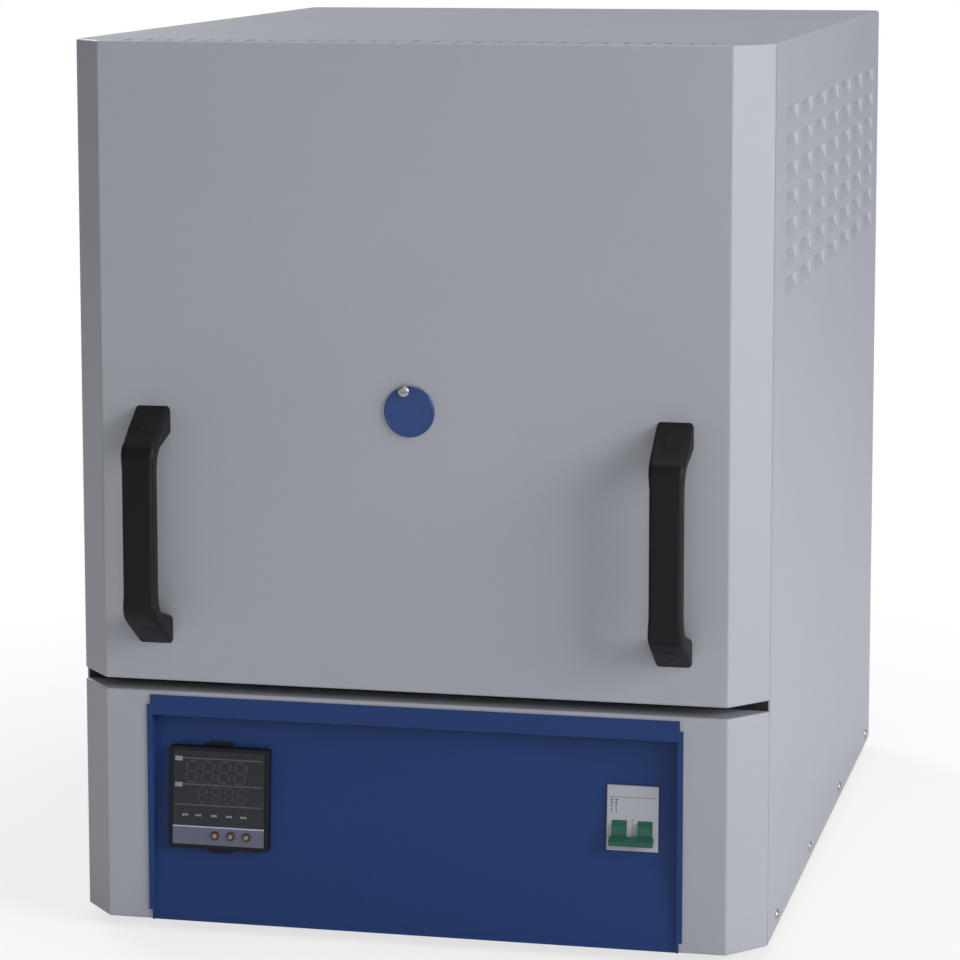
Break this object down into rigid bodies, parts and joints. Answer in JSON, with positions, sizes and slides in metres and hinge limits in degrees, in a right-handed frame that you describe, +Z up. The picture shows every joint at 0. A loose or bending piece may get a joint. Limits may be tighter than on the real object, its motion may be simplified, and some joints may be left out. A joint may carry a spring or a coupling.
{
  "type": "muffle furnace",
  "caption": "Bench-top electric muffle furnace: louvred sheet-steel casing, chamfered front door that lifts on a parallelogram linkage, ceramic chamber, tilted control panel.",
  "frame": {"origin": "centre of the footprint (handles to cable gland), on the surface that the feet stand on", "axes": "+X to the right as seen from the front, +Y from the door towards the back, +Z up; the door faces -Y"},
  "size_m": [0.49, 0.7142, 0.623],
  "materials": {
    "body_paint": "fine-textured powder coat",
    "panel_paint": "fine-textured powder coat",
    "cover_paint": "smooth enamel",
    "frame_paint": "matt black heat-resistant paint",
    "zinc_sheet": "galvanised sheet",
    "link_steel": "zinc-plated flat bar",
    "pin_steel": "bright turned steel",
    "screw_steel": "zinc-plated",
    "heatsink_alloy": "extruded, anodised",
    "heater_alloy": "oxidised resistance ribbon",
    "fibre_board": "vacuum-formed ceramic fibre, 300 kg per cubic metre",
    "gasket_tape": "woven glass-fibre tape",
    "fireclay": "unglazed refractory ceramic",
    "handle_plastic": "fine-grained moulded nylon",
    "controller_plastic": "moulded ABS",
    "window_plastic": "smoked polycarbonate",
    "strip_plastic": "metallic silver film",
    "key_plastic": "translucent amber",
    "breaker_plastic": "moulded thermoset",
    "toggle_plastic": "moulded nylon, green",
    "relay_plastic": "moulded",
    "terminal_plastic": "moulded nylon",
    "gland_plastic": "moulded nylon",
    "foot_rubber": "moulded"
  },
  "bodies": {
    "root": {"base_pan": "zinc_sheet", "breaker_body": "breaker_plastic", "breaker_rail": "zinc_sheet", "cable_gland": "gland_plastic", "casing_screws": "screw_steel", "casing_wrap": "body_paint", "control_panel": "panel_paint", "controller_case": "controller_plastic", "controller_clips": "controller_plastic", "controller_key_strip": "strip_plastic", "controller_window": "window_plastic", "deck": "zinc_sheet", "door_switch": "relay_plastic", "fascia": "body_paint", "feet": "foot_rubber", "friction_washers": "pin_steel", "front_frame": "frame_paint", "hearth_plate": "fireclay", "heating_winding": "heater_alloy", "insulation_bottom": "fibre_board", "insulation_jacket": "zinc_sheet", "insulation_left": "fibre_board", "insulation_rear": "fibre_board", "insulation_right": "fibre_board", "insulation_top": "fibre_board", "mouth_collar": "fireclay", "muffle": "fireclay", "pivot_pins": "pin_steel", "pivot_plate_left": "link_steel", "pivot_plate_right": "link_steel", "power_relay": "relay_plastic", "rear_panel": "body_paint", "relay_heatsink": "heatsink_alloy", "terminal_beads": "fireclay", "terminal_block": "terminal_plastic", "thermocouple_head": "heatsink_alloy", "thermocouple_sheath": "fireclay"},
    "door": {"door_shell": "body_paint", "door_pan": "zinc_sheet", "door_insulation": "fibre_board", "door_plug": "fibre_board", "door_gasket": "gasket_tape", "door_bracket_left": "link_steel", "door_bracket_right": "link_steel", "door_magnet": "relay_plastic", "peephole_sleeve": "pin_steel", "cover_screw": "screw_steel", "handle_left": "handle_plastic", "handle_right": "handle_plastic", "handle_screws": "screw_steel"},
    "peephole_disc": {"peephole_cover": "cover_paint"},
    "arm_left_upper": {"arm_left_upper": "link_steel"},
    "arm_left_lower": {"arm_left_lower": "link_steel"},
    "arm_right_upper": {"arm_right_upper": "link_steel"},
    "arm_right_lower": {"arm_right_lower": "link_steel"},
    "toggle": {"breaker_toggle": "toggle_plastic"},
    "key_1": {"key_1": "key_plastic"},
    "key_2": {"key_2": "key_plastic"},
    "key_3": {"key_3": "key_plastic"}
  },
  "joints": [
    {"name": "door_lift", "type": "hinge", "parent": "root", "child": "arm_left_upper", "pos_m": [-0.2225, -0.2181, 0.50769], "axis": [-1, 0, 0], "range_deg": [0, 121]},
    {"name": "door_carrier", "type": "hinge", "parent": "arm_left_upper", "child": "door", "pos_m": [-0.2225, -0.23134, 0.31833], "axis": [-1, 0, 0], "range_deg": [-121, 0]},
    {"name": "right_upper_link", "type": "hinge", "parent": "root", "child": "arm_right_upper", "pos_m": [0.2225, -0.2181, 0.50769], "axis": [-1, 0, 0], "range_deg": [0, 121]},
    {"name": "left_lower_link", "type": "hinge", "parent": "root", "child": "arm_left_lower", "pos_m": [-0.2225, -0.1731, 0.39681], "axis": [-1, 0, 0], "range_deg": [0, 121]},
    {"name": "right_lower_link", "type": "hinge", "parent": "root", "child": "arm_right_lower", "pos_m": [0.2225, -0.1731, 0.39681], "axis": [-1, 0, 0], "range_deg": [0, 121]},
    {"name": "peephole_swing", "type": "hinge", "parent": "door", "child": "peephole_disc", "pos_m": [-0.0035, -0.3191, 0.388], "axis": [0, 1, 0], "continuous": true},
    {"name": "breaker_switch", "type": "hinge", "parent": "root", "child": "toggle", "pos_m": [0.1535, -0.30701, 0.08915], "axis": [-1, 0, 0], "range_deg": [0, 60]},
    {"name": "key_1_press", "type": "slide", "parent": "root", "child": "key_1", "axis": [0, 0.9972, -0.0746], "range_m": [0, 0.0008], "stiffness_N_per_m": 400, "springref_m": -0.0005},
    {"name": "key_2_press", "type": "slide", "parent": "root", "child": "key_2", "axis": [0, 0.9972, -0.0746], "range_m": [0, 0.0008], "stiffness_N_per_m": 400, "springref_m": -0.0005},
    {"name": "key_3_press", "type": "slide", "parent": "root", "child": "key_3", "axis": [0, 0.9972, -0.0746], "range_m": [0, 0.0008], "stiffness_N_per_m": 400, "springref_m": -0.0005}
  ],
  "couplings": [
    {"joint": "door_carrier", "follows": "door_lift", "ratio": -1},
    {"joint": "right_upper_link", "follows": "door_lift", "ratio": 1},
    {"joint": "left_lower_link", "follows": "door_lift", "ratio": 1},
    {"joint": "right_lower_link", "follows": "door_lift", "ratio": 1}
  ]
}
